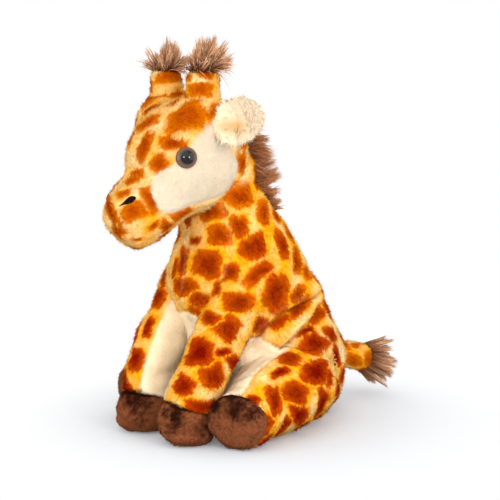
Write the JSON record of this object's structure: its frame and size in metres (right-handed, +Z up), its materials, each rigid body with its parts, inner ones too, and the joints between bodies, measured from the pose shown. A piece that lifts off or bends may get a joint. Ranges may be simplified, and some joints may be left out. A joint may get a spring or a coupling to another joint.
{
  "type": "plush giraffe",
  "caption": "Sitting stuffed giraffe with spotted plush skin, cream cheeks and belly, brown hooves, yarn mane and tufts, and sprung head, ears, legs and tail.",
  "frame": {"origin": "on the floor, in the flat of the seat, between the hips", "axes": "+Z up, -Y the way the giraffe faces, +X towards its left side"},
  "size_m": [0.1446, 0.2556, 0.2501],
  "materials": {
    "spotted_plush": "short soft pile, orange yellow with rust brown spots",
    "cream_plush": "short soft pile, cream",
    "brown_plush": "short dense pile, dark brown",
    "yarn": "long brushed pile, tan brown",
    "eye_plastic": "polished, brown iris round a black pupil",
    "washer_plastic": "moulded",
    "fibre": "loose polyester fibre",
    "bag_cloth": "plain woven"
  },
  "bodies": {
    "torso": {"body_skin": "spotted_plush", "belly_panel": "cream_plush", "body_filling": "fibre", "pellet_bag": "bag_cloth", "neck_mane": "yarn"},
    "head": {"head": "spotted_plush", "cheek_patch_left": "cream_plush", "cheek_patch_right": "cream_plush", "eye_left": "eye_plastic", "eye_right": "eye_plastic", "eye_washer_left": "washer_plastic", "eye_washer_right": "washer_plastic", "horn_left": "spotted_plush", "horn_right": "spotted_plush", "horn_tuft_left": "yarn", "horn_tuft_right": "yarn", "head_mane": "yarn"},
    "ear_left": {"ear_outer_left": "spotted_plush", "ear_lining_left": "cream_plush"},
    "ear_right": {"ear_outer_right": "spotted_plush", "ear_lining_right": "cream_plush"},
    "front_leg_left": {"front_leg_left": "spotted_plush", "front_hoof_left": "brown_plush"},
    "front_leg_right": {"front_leg_right": "spotted_plush", "front_hoof_right": "brown_plush"},
    "hind_leg_left": {"hind_leg_left": "spotted_plush", "hind_hoof_left": "brown_plush"},
    "hind_leg_right": {"hind_leg_right": "spotted_plush", "hind_hoof_right": "brown_plush"},
    "tail": {"tail": "spotted_plush", "tail_tuft": "yarn"}
  },
  "joints": [
    {"name": "head_nod", "type": "hinge", "parent": "torso", "child": "head", "pos_m": [0, -0.035, 0.16], "axis": [1, 0, 0], "range_deg": [-10, 10], "stiffness_Nm_per_rad": 0.8},
    {"name": "ear_left_fold", "type": "hinge", "parent": "head", "child": "ear_left", "pos_m": [0.02633, -0.05395, 0.19732], "axis": [-0.0698, 0, 0.9976], "range_deg": [-25, 25], "stiffness_Nm_per_rad": 0.02},
    {"name": "ear_right_fold", "type": "hinge", "parent": "head", "child": "ear_right", "pos_m": [-0.02633, -0.05395, 0.19732], "axis": [-0.0698, 0, -0.9976], "range_deg": [-25, 25], "stiffness_Nm_per_rad": 0.02},
    {"name": "front_leg_left_lift", "type": "hinge", "parent": "torso", "child": "front_leg_left", "pos_m": [0.02728, -0.0406, 0.0864], "axis": [-1, 0, 0], "range_deg": [0, 35], "stiffness_Nm_per_rad": 0.3},
    {"name": "front_leg_right_lift", "type": "hinge", "parent": "torso", "child": "front_leg_right", "pos_m": [-0.02728, -0.0406, 0.0864], "axis": [-1, 0, 0], "range_deg": [0, 35], "stiffness_Nm_per_rad": 0.3},
    {"name": "hind_leg_left_lift", "type": "hinge", "parent": "torso", "child": "hind_leg_left", "pos_m": [0.036, 0, 0.029], "axis": [-0.9439, 0, 0.3304], "range_deg": [0, 15], "stiffness_Nm_per_rad": 0.3},
    {"name": "hind_leg_right_lift", "type": "hinge", "parent": "torso", "child": "hind_leg_right", "pos_m": [-0.036, 0, 0.029], "axis": [-0.9439, 0, -0.3304], "range_deg": [0, 15], "stiffness_Nm_per_rad": 0.3},
    {"name": "tail_wag", "type": "hinge", "parent": "torso", "child": "tail", "pos_m": [0, 0.05995, 0.034], "axis": [0, 0, 1], "range_deg": [-25, 25], "stiffness_Nm_per_rad": 0.05}
  ]
}
